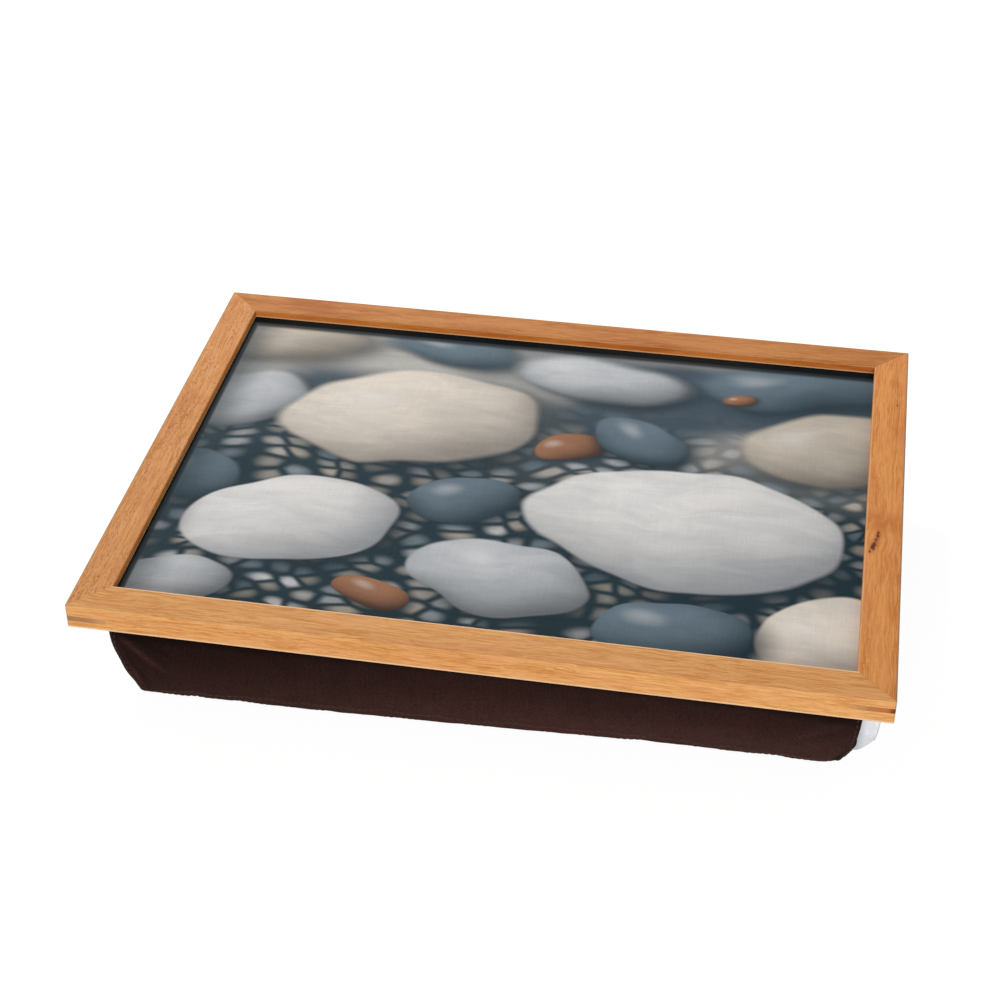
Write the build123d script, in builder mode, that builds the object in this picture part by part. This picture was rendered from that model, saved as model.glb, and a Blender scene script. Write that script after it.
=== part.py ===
"""A lap tray: a mitred wooden frame round a printed board, held on a bead-filled cushion.

Origin: the middle of the cushion's underside. X runs along the width, the front is -Y, +Z is up.
All sizes are in millimetres.
"""

from math import sqrt
import os

from build123d import *

# Frame of the tray
tray_width = 430.0
tray_depth = 325.0
overall_height = 70.0
rail_width = 20.0
rail_height = 15.0
rail_edge_radius = 1.0
frame_corner_radius = 1.2

# Printed board, from the face of the picture down
picture_recess = 5.0
laminate_thickness = 0.3
board_thickness = 3.0
board_engagement = 5.0
groove_end_gap = 1.0
groove_top_gap = 0.2

# Wooden keys across the mitres, measured from the top of the frame to their middle
key_leg = 22.0
key_thickness = 3.0
left_key_drop = 8.7
right_key_drop = 6.5

# Hook and loop tape between the board and the cushion
tape_length = 100.0
tape_width = 20.0
tape_corner_radius = 2.0
hook_tape_thickness = 1.5
loop_tape_thickness = 1.5
tape_end_inset = 35.0
tape_side_inset = 37.5

# Cushion: how far its top seam lies in from the frame's outer faces, and how it swells and draws in
cushion_setback = 15.0
cushion_corner_radius = 5.0
rail_clearance = 0.8
bottom_seam_height = 5.0
foot_inset_x = 24.0
foot_inset_y = 12.0
side_draw_in = 5.0
crown_inset = 30.0
cover_thickness = 0.8
liner_thickness = 0.4
layer_clearance = 0.3

# Folded label in the front right corner seam
label_length = 31.0
label_reach = 9.5
label_ply = 0.35
label_fold_gap = 0.5
label_root = 3.0
label_top_gap = 1.6
label_turn_back = 35.0

# How the corner seam that holds the label leans outward, over each unit of height
seam_lean_x = 0.12
seam_lean_y = 0.08

# How far a cutting shape runs past what it cuts
overrun = 5.0

# Heights and half sizes that follow from the sizes above
rail_bottom = overall_height - rail_height
picture_top = overall_height - picture_recess
board_top = picture_top - laminate_thickness
board_bottom = board_top - board_thickness
backing_bottom = board_bottom - laminate_thickness
tape_meeting = backing_bottom - hook_tape_thickness
cushion_top = tape_meeting - loop_tape_thickness
top_seam_height = rail_bottom - rail_clearance
inner_width = tray_width - 2 * rail_width
inner_depth = tray_depth - 2 * rail_width
cushion_width = tray_width - 2 * cushion_setback
cushion_depth = tray_depth - 2 * cushion_setback
board_width = inner_width + 2 * board_engagement
board_depth = inner_depth + 2 * board_engagement

# Side of the cushion, from the foot to the top seam: height as a share of the top seam's, then the
# inset of the outline as a share of the foot's, along X and along Y, then the draw-in's share
side_shares = (
    (0.00, 1.00, 1.00, 0.60),
    (0.04, 0.71, 0.33, 0.85),
    (0.13, 0.45, -0.08, 1.00),
    (0.34, 0.14, -0.25, 1.00),
    (0.62, 0.00, -0.21, 0.85),
    (0.85, -0.04, -0.08, 0.65),
    (1.00, 0.00, 0.00, 0.50),
)

# Crown of the cushion, inside the frame: height as a share of the way from the top seam to the flat
# that carries the tape, the outline's inset as a share of the flat's, then the draw-in's share
crown_shares = (
    (0.00, 0.00, 0.50),
    (0.09, 0.19, 0.45),
    (0.56, 0.45, 0.30),
    (1.00, 1.00, 0.15),
)


def cushion_outline(height, half_width, half_depth, draw_in):
    """One level of the cushion: rounded corners, with each side drawn in between them."""
    corner = cushion_corner_radius
    nick = corner * (1 - sqrt(0.5))
    with BuildSketch(Plane.XY.offset(height)) as level:
        with BuildLine():
            for s in (1, -1):
                front_y = -s * half_depth
                front_end = s * (half_width - corner)
                side_x = s * half_width
                side_end = s * (half_depth - corner)
                corner_x = s * (half_width - nick)
                corner_y = s * (half_depth - nick)
                front_mid = (0, front_y + s * draw_in)
                side_mid = (side_x - s * draw_in, 0)
                ThreePointArc((-front_end, front_y), front_mid, (front_end, front_y))
                ThreePointArc((front_end, front_y), (corner_x, -corner_y), (side_x, -side_end))
                ThreePointArc((side_x, -side_end), side_mid, (side_x, side_end))
                ThreePointArc((side_x, side_end), (corner_x, corner_y), (front_end, -front_y))
        make_face()
    return level.sketch


def cushion_level(inset, height, inset_x, inset_y, draw_in):
    """The outline at a height of the finished cushion, for a layer that lies inset from its skin."""
    squeezed = inset + height * (cushion_top - 2 * inset) / cushion_top
    half_width = cushion_width / 2 - inset_x - inset
    half_depth = cushion_depth / 2 - inset_y - inset
    return cushion_outline(squeezed, half_width, half_depth, draw_in)


def cushion_body(inset):
    """The whole cushion as one solid, inset from its skin all over."""
    side_levels = []
    for height_share, inset_x_share, inset_y_share, draw_share in side_shares:
        side_levels.append(
            cushion_level(
                inset,
                height_share * top_seam_height,
                inset_x_share * foot_inset_x,
                inset_y_share * foot_inset_y,
                draw_share * side_draw_in,
            )
        )
    crown_levels = []
    for rise_share, inset_share, draw_share in crown_shares:
        crown_levels.append(
            cushion_level(
                inset,
                top_seam_height + rise_share * (cushion_top - top_seam_height),
                inset_share * crown_inset,
                inset_share * crown_inset,
                draw_share * side_draw_in,
            )
        )
    with BuildPart() as body:
        loft(side_levels)
        loft(crown_levels, ruled=True)
    return body.part


def finish(piece, name):
    """Labels a finished piece and writes it as its own STEP file."""
    piece.part.label = name
    export_step(piece.part, f"parts/{name}.step")


os.makedirs("parts", exist_ok=True)


# Mitre keys: right-angled wooden tongues, flush with both outer faces of their corner
def key_shape(side_x, side_y, height):
    corner_x = side_x * tray_width / 2
    corner_y = side_y * tray_depth / 2
    with BuildPart() as key:
        with BuildSketch(Plane.XY.offset(height)):
            RectangleRounded(tray_width, tray_depth, frame_corner_radius)
            with BuildLine():
                Polyline(
                    (corner_x, corner_y),
                    (corner_x - side_x * key_leg, corner_y),
                    (corner_x, corner_y - side_y * key_leg),
                    close=True,
                )
            make_face(mode=Mode.INTERSECT)
        extrude(amount=key_thickness)
    return key


left_key_height = overall_height - left_key_drop - key_thickness / 2
right_key_height = overall_height - right_key_drop - key_thickness / 2
key_places = {
    "mitre_key_front_left": (-1, -1, left_key_height),
    "mitre_key_front_right": (1, -1, right_key_height),
    "mitre_key_back_left": (-1, 1, left_key_height),
    "mitre_key_back_right": (1, 1, right_key_height),
}
keys = {}
for name, (side_x, side_y, height) in key_places.items():
    keys[name] = key_shape(side_x, side_y, height)
    finish(keys[name], name)


# Rails: one moulded section run the length of its side, mitred at both ends and slotted for the keys
def rail_shape(inward, half_length, half_span):
    """A rail whose inner face looks along inward, half_span out from the tray's middle."""
    along = inward.cross(Vector(0, 0, 1))
    middle = inward * -half_span + Vector(0, 0, rail_bottom)
    section = Plane(origin=middle, x_dir=inward, z_dir=along)
    groove_floor = rail_width - board_engagement - groove_end_gap
    groove_height = picture_top + groove_top_gap - backing_bottom
    with BuildPart() as rail:
        with BuildSketch(section):
            RectangleRounded(
                rail_width, rail_height, rail_edge_radius, align=(Align.MIN, Align.MIN)
            )
            with Locations((groove_floor, backing_bottom - rail_bottom)):
                Rectangle(
                    rail_width,
                    groove_height,
                    align=(Align.MIN, Align.MIN),
                    mode=Mode.SUBTRACT,
                )
        extrude(amount=half_length, both=True)
        outer_start = inward * -half_span - along * half_length
        outer_end = inward * -half_span + along * half_length
        inner_start = outer_start + (inward + along) * rail_width
        inner_end = outer_end + (inward - along) * rail_width
        with BuildSketch(Plane.XY.offset(rail_bottom)):
            RectangleRounded(tray_width, tray_depth, frame_corner_radius)
            with BuildLine():
                Polyline(
                    (outer_start.X, outer_start.Y),
                    (outer_end.X, outer_end.Y),
                    (inner_end.X, inner_end.Y),
                    (inner_start.X, inner_start.Y),
                    close=True,
                )
            make_face(mode=Mode.INTERSECT)
        extrude(amount=rail_height, mode=Mode.INTERSECT)
        for key in keys.values():
            add(key.part, mode=Mode.SUBTRACT)
    return rail


rail_sides = {
    "frame_rail_front": (Vector(0, 1, 0), tray_width / 2, tray_depth / 2),
    "frame_rail_back": (Vector(0, -1, 0), tray_width / 2, tray_depth / 2),
    "frame_rail_left": (Vector(1, 0, 0), tray_depth / 2, tray_width / 2),
    "frame_rail_right": (Vector(-1, 0, 0), tray_depth / 2, tray_width / 2),
}
for name, (inward, half_length, half_span) in rail_sides.items():
    rail = rail_shape(inward, half_length, half_span)
    finish(rail, name)


# Printed board: a fibreboard core faced on both sides, held in the rails' groove
def board_layer(bottom, thickness):
    with BuildPart() as layer:
        with BuildSketch(Plane.XY.offset(bottom)):
            Rectangle(board_width, board_depth)
        extrude(amount=thickness)
    return layer


picture_laminate = board_layer(board_top, laminate_thickness)
finish(picture_laminate, "picture_laminate")
tray_board = board_layer(board_bottom, board_thickness)
finish(tray_board, "tray_board")
backing_laminate = board_layer(backing_bottom, laminate_thickness)
finish(backing_laminate, "backing_laminate")


# Hook and loop tape: a pair near each corner, meeting face to face
def tape_strip(side_x, side_y, bottom, thickness):
    middle_x = side_x * (inner_width / 2 - tape_end_inset - tape_length / 2)
    middle_y = side_y * (inner_depth / 2 - tape_side_inset - tape_width / 2)
    with BuildPart() as strip:
        with BuildSketch(Plane.XY.offset(bottom)):
            with Locations((middle_x, middle_y)):
                RectangleRounded(tape_length, tape_width, tape_corner_radius)
        extrude(amount=thickness)
    return strip


tape_corners = {
    "front_left": (-1, -1),
    "front_right": (1, -1),
    "back_left": (-1, 1),
    "back_right": (1, 1),
}
for corner, (side_x, side_y) in tape_corners.items():
    hook_tape = tape_strip(side_x, side_y, tape_meeting, hook_tape_thickness)
    finish(hook_tape, f"hook_tape_{corner}")
    loop_tape = tape_strip(side_x, side_y, cushion_top, loop_tape_thickness)
    finish(loop_tape, f"loop_tape_{corner}")

# Cushion cover: six sewn panels, cut from one skin of even thickness
cushion_skin = cushion_body(0)
cushion_hollow = cushion_body(cover_thickness)
seam_inset = 2 * cover_thickness
seam_draw_share = crown_shares[0][-1]
top_patch = cushion_outline(
    top_seam_height - seam_inset,
    cushion_width / 2 - seam_inset,
    cushion_depth / 2 - seam_inset,
    seam_draw_share * side_draw_in,
)

with BuildPart() as top_panel:
    add(top_patch)
    extrude(amount=overall_height)
    add(cushion_skin, mode=Mode.INTERSECT)
    add(cushion_hollow, mode=Mode.SUBTRACT)
finish(top_panel, "cushion_top_panel")

with BuildPart() as bottom_panel:
    with BuildSketch():
        Rectangle(tray_width, tray_depth)
    extrude(amount=bottom_seam_height)
    add(cushion_skin, mode=Mode.INTERSECT)
    add(cushion_hollow, mode=Mode.SUBTRACT)
finish(bottom_panel, "cushion_bottom_panel")


def side_panel(wedge_points):
    """The skin between the two seams, within one wedge of the plan."""
    with BuildPart() as panel:
        with BuildSketch(Plane.XY.offset(bottom_seam_height)):
            with BuildLine():
                Polyline(*wedge_points, close=True)
            make_face()
        extrude(amount=overall_height)
        add(cushion_skin, mode=Mode.INTERSECT)
        add(cushion_hollow, mode=Mode.SUBTRACT)
        add(top_panel.part, mode=Mode.SUBTRACT)
    return panel


out_x = cushion_width / 2 + overrun
out_y = cushion_depth / 2 + overrun
ridge = (cushion_width - cushion_depth) / 2
wedges = {
    "cushion_side_front": ((-out_x, -out_y), (out_x, -out_y), (ridge, 0), (-ridge, 0)),
    "cushion_side_back": ((-out_x, out_y), (out_x, out_y), (ridge, 0), (-ridge, 0)),
    "cushion_side_left": ((-out_x, -out_y), (-out_x, out_y), (-ridge, 0)),
    "cushion_side_right": ((out_x, -out_y), (out_x, out_y), (ridge, 0)),
}
for name, wedge_points in wedges.items():
    panel = side_panel(wedge_points)
    finish(panel, name)

# Inner liner: a thin bag in two halves, sewn round the middle of the cushion
liner_inset = cover_thickness + layer_clearance
liner_skin = cushion_body(liner_inset)
liner_hollow = cushion_body(liner_inset + liner_thickness)


def liner_half(bottom, height):
    with BuildPart() as half:
        with BuildSketch(Plane.XY.offset(bottom)):
            Rectangle(tray_width, tray_depth)
        extrude(amount=height)
        add(liner_skin, mode=Mode.INTERSECT)
        add(liner_hollow, mode=Mode.SUBTRACT)
    return half


liner_lower = liner_half(0, cushion_top / 2)
finish(liner_lower, "liner_lower")
liner_upper = liner_half(cushion_top / 2, cushion_top / 2)
finish(liner_upper, "liner_upper")

# Fill: the space that the beads take up inside the liner
with BuildPart() as bead_fill:
    add(cushion_body(liner_inset + liner_thickness + layer_clearance))
finish(bead_fill, "bead_fill")

# Label: a ribbon folded once, its two cut ends caught in the front right corner seam. It follows
# that seam, which leans, and its fold is turned back from the corner's diagonal to the side
label_nick = cushion_corner_radius * (1 - sqrt(0.5))
label_base = Vector(cushion_width / 2 - label_nick, label_nick - cushion_depth / 2, 0)
label_out = Vector(1, -1, 0).rotate(Axis.Z, label_turn_back)
label_top = top_seam_height - label_top_gap
label_plane = Plane(
    origin=label_base + Vector(0, 0, label_top),
    x_dir=label_out,
    z_dir=(0, 0, 1),
)
fold_radius = label_fold_gap / 2 + label_ply
with BuildPart() as woven_label:
    with BuildSketch(label_plane):
        with Locations((-label_root, 0)):
            Rectangle(
                label_root + label_reach - fold_radius,
                2 * fold_radius,
                align=(Align.MIN, Align.CENTER),
            )
        with Locations((label_reach - fold_radius, 0)):
            Circle(fold_radius)
            Circle(label_fold_gap / 2, mode=Mode.SUBTRACT)
        with Locations((-label_root, 0)):
            Rectangle(
                label_root + label_reach - fold_radius,
                label_fold_gap,
                align=(Align.MIN, Align.CENTER),
                mode=Mode.SUBTRACT,
            )
    extrude(amount=label_length, dir=(-seam_lean_x, seam_lean_y, -1))
    add(cushion_skin, mode=Mode.SUBTRACT)
finish(woven_label, "woven_label")
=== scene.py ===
"""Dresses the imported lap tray: oiled beech frame, printed board, sewn cushion, label and studio."""

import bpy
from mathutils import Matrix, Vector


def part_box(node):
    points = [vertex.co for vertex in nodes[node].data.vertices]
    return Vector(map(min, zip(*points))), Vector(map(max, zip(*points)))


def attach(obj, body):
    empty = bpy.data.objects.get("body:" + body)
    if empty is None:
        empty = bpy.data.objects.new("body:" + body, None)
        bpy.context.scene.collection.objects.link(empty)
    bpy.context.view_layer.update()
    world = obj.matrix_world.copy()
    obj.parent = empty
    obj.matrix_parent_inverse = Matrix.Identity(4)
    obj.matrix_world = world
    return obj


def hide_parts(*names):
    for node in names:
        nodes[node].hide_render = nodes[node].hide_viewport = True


bl_info = {
    "name": "Lap Tray Maker",
    "version": (1, 0, 0),
    "blender": (4, 5, 0),
    "location": "View3D > Sidebar > Lap Tray",
    "description": "Gives a lap tray its wood, print, sewn cushion and studio",
    "category": "Object",
}

from math import cos, pi, radians, sin

import bpy
import numpy as np
from bpy.props import FloatProperty, FloatVectorProperty, IntProperty, PointerProperty
from mathutils import Matrix, Vector

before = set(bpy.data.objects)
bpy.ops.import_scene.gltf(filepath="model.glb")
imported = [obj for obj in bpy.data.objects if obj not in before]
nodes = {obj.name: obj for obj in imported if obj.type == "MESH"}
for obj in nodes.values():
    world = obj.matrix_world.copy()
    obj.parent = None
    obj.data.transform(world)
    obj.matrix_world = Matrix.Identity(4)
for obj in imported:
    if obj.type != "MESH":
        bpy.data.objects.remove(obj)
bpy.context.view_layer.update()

MM = 0.001


def span(node):
    """Lowest and highest corner of a CAD node, in millimetres."""
    low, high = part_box(node)
    return np.array(low) / MM, np.array(high) / MM


# Sizes of the frame that the cushion and the print are fitted to
RAIL_LOW, RAIL_HIGH = (corner.tolist() for corner in span("frame_rail_front"))
RAIL_BOTTOM, RAIL_TOP = RAIL_LOW[2], RAIL_HIGH[2]
RAIL_WIDTH = RAIL_HIGH[1] - RAIL_LOW[1]
HALF_WIDTH, HALF_DEPTH = RAIL_HIGH[0], -RAIL_LOW[1]
PICTURE_TOP = float(span("picture_laminate")[1][2])
BOARD_UNDERSIDE = float(span("backing_laminate")[0][2])
CROWN_TOP = float(span("loop_tape_front_left")[0][2])

CORNERS = ("front_left", "front_right", "back_left", "back_right")
BESIDE = ("left", "right")


# Settings a user would change


def tint(name, description, color):
    return FloatVectorProperty(
        name=name, description=description, subtype="COLOR", size=3, min=0, max=1, default=color
    )


def length_mm(name, description, default):
    return FloatProperty(
        name=name, description=description, default=default * MM, min=0, unit="LENGTH"
    )


def share(name, description, default):
    return FloatProperty(
        name=name, description=description, default=default, min=0, max=1, subtype="FACTOR"
    )


def place_m(name, description, default):
    return FloatVectorProperty(
        name=name, description=description, subtype="TRANSLATION", unit="LENGTH", default=default
    )


def watts(name, description, default):
    return FloatProperty(name=name, description=description, unit="POWER", default=default)


class WoodSettings(bpy.types.PropertyGroup):
    pale: tint("Pale wood", "Colour of the early wood", (0.73, 0.36, 0.128))
    dark: tint("Dark wood", "Colour of the late wood and the rays", (0.505, 0.176, 0.045))
    key: tint("Key wood", "Colour of the keys across the mitres", (0.44, 0.215, 0.088))
    roughness: share("Roughness", "Roughness of the oiled surface", 0.72)


class PrintSettings(bpy.types.PropertyGroup):
    ground: tint("Ground", "Dark slate behind the stones", (0.055, 0.082, 0.106))
    haze: tint("Haze", "Pale patches out of focus", (0.50, 0.48, 0.44))
    linen_pitch: length_mm("Linen pitch", "Distance between the threads of the emboss", 1.0)
    roughness: share("Roughness", "Roughness of the laminate", 0.62)


class CushionSettings(bpy.types.PropertyGroup):
    cotton: tint("Cotton", "Colour of the cover", (0.0250, 0.0104, 0.0087))
    thread: tint("Thread", "Colour of the sewing thread", (0.044, 0.022, 0.017))
    bottom_seam: length_mm("Bottom seam", "Height of the seam round the underside", 5)
    seam_gap: length_mm("Rail gap", "Room between the top seam and the rails", 0.8)
    setback: length_mm("Setback", "How far the top seam lies in from the frame's faces", 15)
    corner_radius: length_mm("Corner radius", "Radius of the cover's corners", 4)
    cloth_pitch: length_mm("Cloth pitch", "Spacing of the cloth's points", 5)
    pressure: FloatProperty(
        name="Pressure", description="How hard the beads push the cover out", default=4, min=0
    )
    swell: length_mm("Swell", "Farthest that the filling may move the cover", 5)
    steps: IntProperty(name="Steps", description="Frames of cloth simulation", default=20, min=1)


class StageSettings(bpy.types.PropertyGroup):
    eye: place_m("Camera", "Where the camera stands", (0.15497, -0.95457, 0.76045))
    aim: place_m("Aim", "Point that the lens axis goes through", (-0.029863, -0.012197, 0.06))
    roll: FloatProperty(
        name="Roll",
        description="Turn of the camera about its axis",
        subtype="ANGLE",
        default=radians(-0.656),
    )
    lens: FloatProperty(name="Lens", description="Focal length on a 36 mm sensor", default=75.10)
    key_power: watts("Key light", "Lamp behind the tray", 56)
    fill_power: watts("Fill light", "Lamp in front", 46)
    sky: FloatProperty(name="Sky", description="Strength of the even light around", default=0.24)


# Short hand for node trees


class Wire:
    """An output socket to reckon with: every operator adds one node to its bench."""

    def __init__(self, bench, socket):
        self.bench, self.socket = bench, socket

    def __abs__(self):
        return self.bench.math("ABSOLUTE", self)


def is_wide(value):
    """Whether a value is a vector or a colour."""
    return value.socket.type != "VALUE" if isinstance(value, Wire) else isinstance(value, tuple)


def give_operator(name, operation):
    def reckon(bench, *values):
        wide = any(is_wide(value) for value in values)
        return (bench.vector if wide else bench.math)(operation, *values)

    setattr(Wire, f"__{name}__", lambda self, other: reckon(self.bench, self, other))
    setattr(Wire, f"__r{name}__", lambda self, other: reckon(self.bench, other, self))


for short, long in zip(("add", "sub", "mul", "truediv"), ("ADD", "SUBTRACT", "MULTIPLY", "DIVIDE")):
    give_operator(short, long)


class Bench:
    """Adds nodes to one tree and wires them; most methods give back a wire."""

    def __init__(self, tree):
        self.tree = tree

    def put(self, kind, feeds=None, **settings):
        node = self.tree.nodes.new(kind)
        for name, value in settings.items():
            setattr(node, name, value)
        for key, value in (feeds or {}).items():
            self.feed(node.inputs[key], value)
        return node

    def feed(self, socket, value):
        if isinstance(value, Wire):
            self.tree.links.new(value.socket, socket)
        elif socket.type == "RGBA" and len(value) == 3:
            socket.default_value = (*value, 1.0)
        else:
            socket.default_value = value

    def out(self, kind, feeds=None, out=0, **settings):
        """Adds a node and gives one of its outputs."""
        return Wire(self, self.put(kind, feeds, **settings).outputs[out])

    def outs(self, kind, feeds=None, **settings):
        """Adds a node and gives all its outputs by name."""
        node = self.put(kind, feeds, **settings)
        return {socket.name: Wire(self, socket) for socket in node.outputs}

    def math(self, operation, first, second=0.0, clamp=False):
        feeds = {0: first, 1: second}
        return self.out("ShaderNodeMath", feeds, operation=operation, use_clamp=clamp)

    def vector(self, operation, first, second=(0, 0, 0)):
        out = "Value" if operation in ("LENGTH", "DISTANCE", "DOT_PRODUCT") else "Vector"
        return self.out("ShaderNodeVectorMath", {0: first, 1: second}, out, operation=operation)

    def split(self, vector):
        return [*self.outs("ShaderNodeSeparateXYZ", {0: vector}).values()]

    def join(self, x=0.0, y=0.0, z=0.0):
        return self.out("ShaderNodeCombineXYZ", {0: x, 1: y, 2: z})

    def noise(self, vector, scale, detail=2.0, roughness=0.5, distortion=0.0, out=0):
        feeds = {"Vector": vector * scale, "Scale": 1.0, "Detail": detail}
        feeds |= {"Roughness": roughness, "Distortion": distortion}
        return self.out("ShaderNodeTexNoise", feeds, out)

    def fade(self, value, low, high, to_low=0.0, to_high=1.0):
        feeds = dict(enumerate((value, low, high, to_low, to_high)))
        return self.out("ShaderNodeMapRange", feeds, interpolation_type="SMOOTHSTEP")

    def mix(self, amount, first, second, blend="MIX"):
        feeds = {0: amount, 6: first, 7: second}
        return self.out("ShaderNodeMix", feeds, 2, data_type="RGBA", blend_type=blend)

    def spot(self, place, centre, radius, softness):
        """A round mask: 1 inside radius, 0 beyond it plus softness."""
        distance = self.vector("DISTANCE", place, centre)
        return self.fade(distance, radius, radius + softness, 1.0, 0.0)

    def bump(self, height, distance, strength):
        feeds = {"Height": height, "Distance": distance, "Strength": strength}
        return self.out("ShaderNodeBump", feeds)

    def place(self):
        """Position in the row frame, in metres."""
        return self.out("ShaderNodeTexCoord", out="Object")

    def group(self, name, **feeds):
        return self.outs("ShaderNodeGroup", feeds, node_tree=bpy.data.node_groups[name])

    def give(self, **results):
        """Makes the outputs of a group."""
        kinds = {"VALUE": "NodeSocketFloat", "RGBA": "NodeSocketColor"}
        for label, wire in results.items():
            kind = kinds[wire.socket.type]
            self.tree.interface.new_socket(name=label, in_out="OUTPUT", socket_type=kind)
        self.put("NodeGroupOutput", results)


def new_group(name, **given):
    """A shader group: gives its bench and its inputs. Every word names an input of its kind."""
    tree = bpy.data.node_groups.new(name, "ShaderNodeTree")
    for kind, labels in given.items():
        for label in labels.split():
            tree.interface.new_socket(name=label, in_out="INPUT", socket_type=f"NodeSocket{kind}")
    bench = Bench(tree)
    return bench, bench.outs("NodeGroupInput")


def empty_bench(owner):
    """Bench for the cleared node tree of a material or world."""
    owner.use_nodes = True
    owner.node_tree.nodes.clear()
    return Bench(owner.node_tree)


def new_material(name):
    """A material, and its empty bench."""
    material = bpy.data.materials.new(name)
    return material, empty_bench(material)


def surface(material, b, **values):
    """Ends a material in a Principled shader; an underscore stands for a space in a name."""
    feeds = {name.replace("_", " "): value for name, value in values.items()}
    b.put("ShaderNodeOutputMaterial", {"Surface": b.out("ShaderNodeBsdfPrincipled", feeds)})
    return material


def dress(material, *pieces):
    """Gives every slot of the pieces this material; a CAD node may go by its name."""
    for piece in pieces:
        piece = nodes[piece] if isinstance(piece, str) else piece
        if not piece.data.materials:
            piece.data.materials.append(material)
        for slot in piece.material_slots:
            slot.material = material


def times(color, factor):
    return tuple(channel * factor for channel in color)


def one_by_one(b, position, result):
    """The same position, but it waits for a result, so the renderer holds one step at a time."""
    return position + b.math("MULTIPLY", result, 1e-8)


# Shared effects


def make_grain_group():
    """Oiled beech: long growth lines, fine grain and short dark flecks. X runs along the grain."""
    b, given = new_group(
        "Beech grain", Vector="Position Offset", Color="Pale Dark", Float="Flecks Lines Clouds"
    )
    place = given["Position"] + given["Offset"]
    lean = (b.noise(place, (24, 70, 70)) - 0.5) * 0.007
    bent = place + b.join(0.0, lean, lean * 0.7)
    growth = b.noise(bent, (5, 270, 190), 2, 0.55)
    fine = b.noise(bent, (55, 1350, 1350), 3, 0.68)
    fibre = b.noise(bent, (240, 2900, 2900), 1)
    clouds = b.noise(bent, (15, 75, 75), 3, 0.6)
    hues = b.noise(bent, (30, 210, 210))
    fleck_limit = b.fade(b.noise(place, (20, 70, 70), 1), 0.30, 0.70, 0.73, 0.64)
    fleck_limit = fleck_limit - given["Flecks"] * 0.07
    flecks = b.noise(bent, (400, 1600, 1600), 1, 0.4) - fleck_limit
    flecks = b.fade(flecks, 0.0, 0.08) * given["Flecks"]
    tone = b.fade(fine, 0.36, 0.64) * given["Lines"]
    tone = tone + b.fade(growth, 0.32, 0.68, -0.11, 0.12) + b.fade(fibre, 0.3, 0.7, 0.0, 0.14)
    cloudy = b.fade(clouds, 0.32, 0.68, -0.5, 0.5) * given["Clouds"]
    tone = b.math("ADD", tone, cloudy, clamp=True)
    wood = b.mix(tone, given["Pale"], given["Dark"])
    wood = b.mix(b.fade(hues, 0.42, 0.66, 0.0, 0.45), wood, given["Pale"] * (0.97, 0.90, 1.10))
    wood = b.mix(b.fade(clouds, 0.52, 0.72) * given["Clouds"], wood, (0.50, 0.175, 0.060))
    wood = b.mix(flecks * 0.62, wood, (0.28, 0.105, 0.034))
    height = fine * 0.5 - flecks * 0.5 + fibre * 0.3
    b.give(Color=wood, Height=height, Gloss=b.fade(fine, 0.3, 0.7, -0.06, 0.07))


def make_weave_group():
    """Plain weave that follows no UVs: a lattice of threads in all three directions."""
    b, given = new_group("Plain weave", Vector="Position", Float="Pitch Slub")
    place = given["Position"]
    drift = b.noise(place, (160, 160, 160)) * 3.2
    turn = 2 * pi / given["Pitch"]
    waves = [b.math("SINE", axis * turn + drift) for axis in b.split(place)]
    lattice = waves[0] * waves[1] + waves[1] * waves[2] + waves[2] * waves[0]
    height = b.fade(lattice, -1.2, 1.6)
    slub = b.noise(place, (420, 420, 60)) * given["Slub"]
    b.give(Height=height + slub, Shade=height * 0.6 + slub)


def make_crease_group():
    """Painted highlight or painted shade along a soft line on the front or back: it makes a tone
    lighter or darker, fading to both ends.
    """
    b, given = new_group("Painted crease light", Vector="Position Start End", Float="Tone Width Lift")
    run = given["End"] - given["Start"]
    gone = (given["Position"] - given["Start"]) * (1, 0.2, 1)
    length = b.vector("LENGTH", run)
    way = b.vector("DOT_PRODUCT", gone, run) / (length * length)
    off = b.vector("DISTANCE", gone, run * way) / given["Width"]
    ends = b.fade(way, -0.35, 0.2) * b.fade(way, 0.8, 1.5, 1.0, 0.0)
    mask = b.fade(off, 0.0, 1.0, 1.0, 0.0) * ends
    b.give(Tone=given["Tone"] * (mask * given["Lift"] + 1.0))


def make_linen_group():
    """Emboss of the laminate: crossed threads of uneven strength, in the board's plane."""
    b, given = new_group("Linen emboss", Vector="Position", Float="Pitch")
    turn = 2 * pi / given["Pitch"]
    threads = []
    for axis, scale in zip(b.split(given["Position"]), ((900, 45, 1), (45, 900, 1))):
        slub = b.noise(given["Position"], scale, 2, 0.6)
        wave = b.math("SINE", axis * turn + slub * 5.0)
        threads.append(b.fade(wave, -0.8, 1.0) * b.fade(slub, 0.25, 0.75, 0.25, 1.0))
    b.give(Height=(threads[0] + threads[1]) * 0.5)


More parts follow.
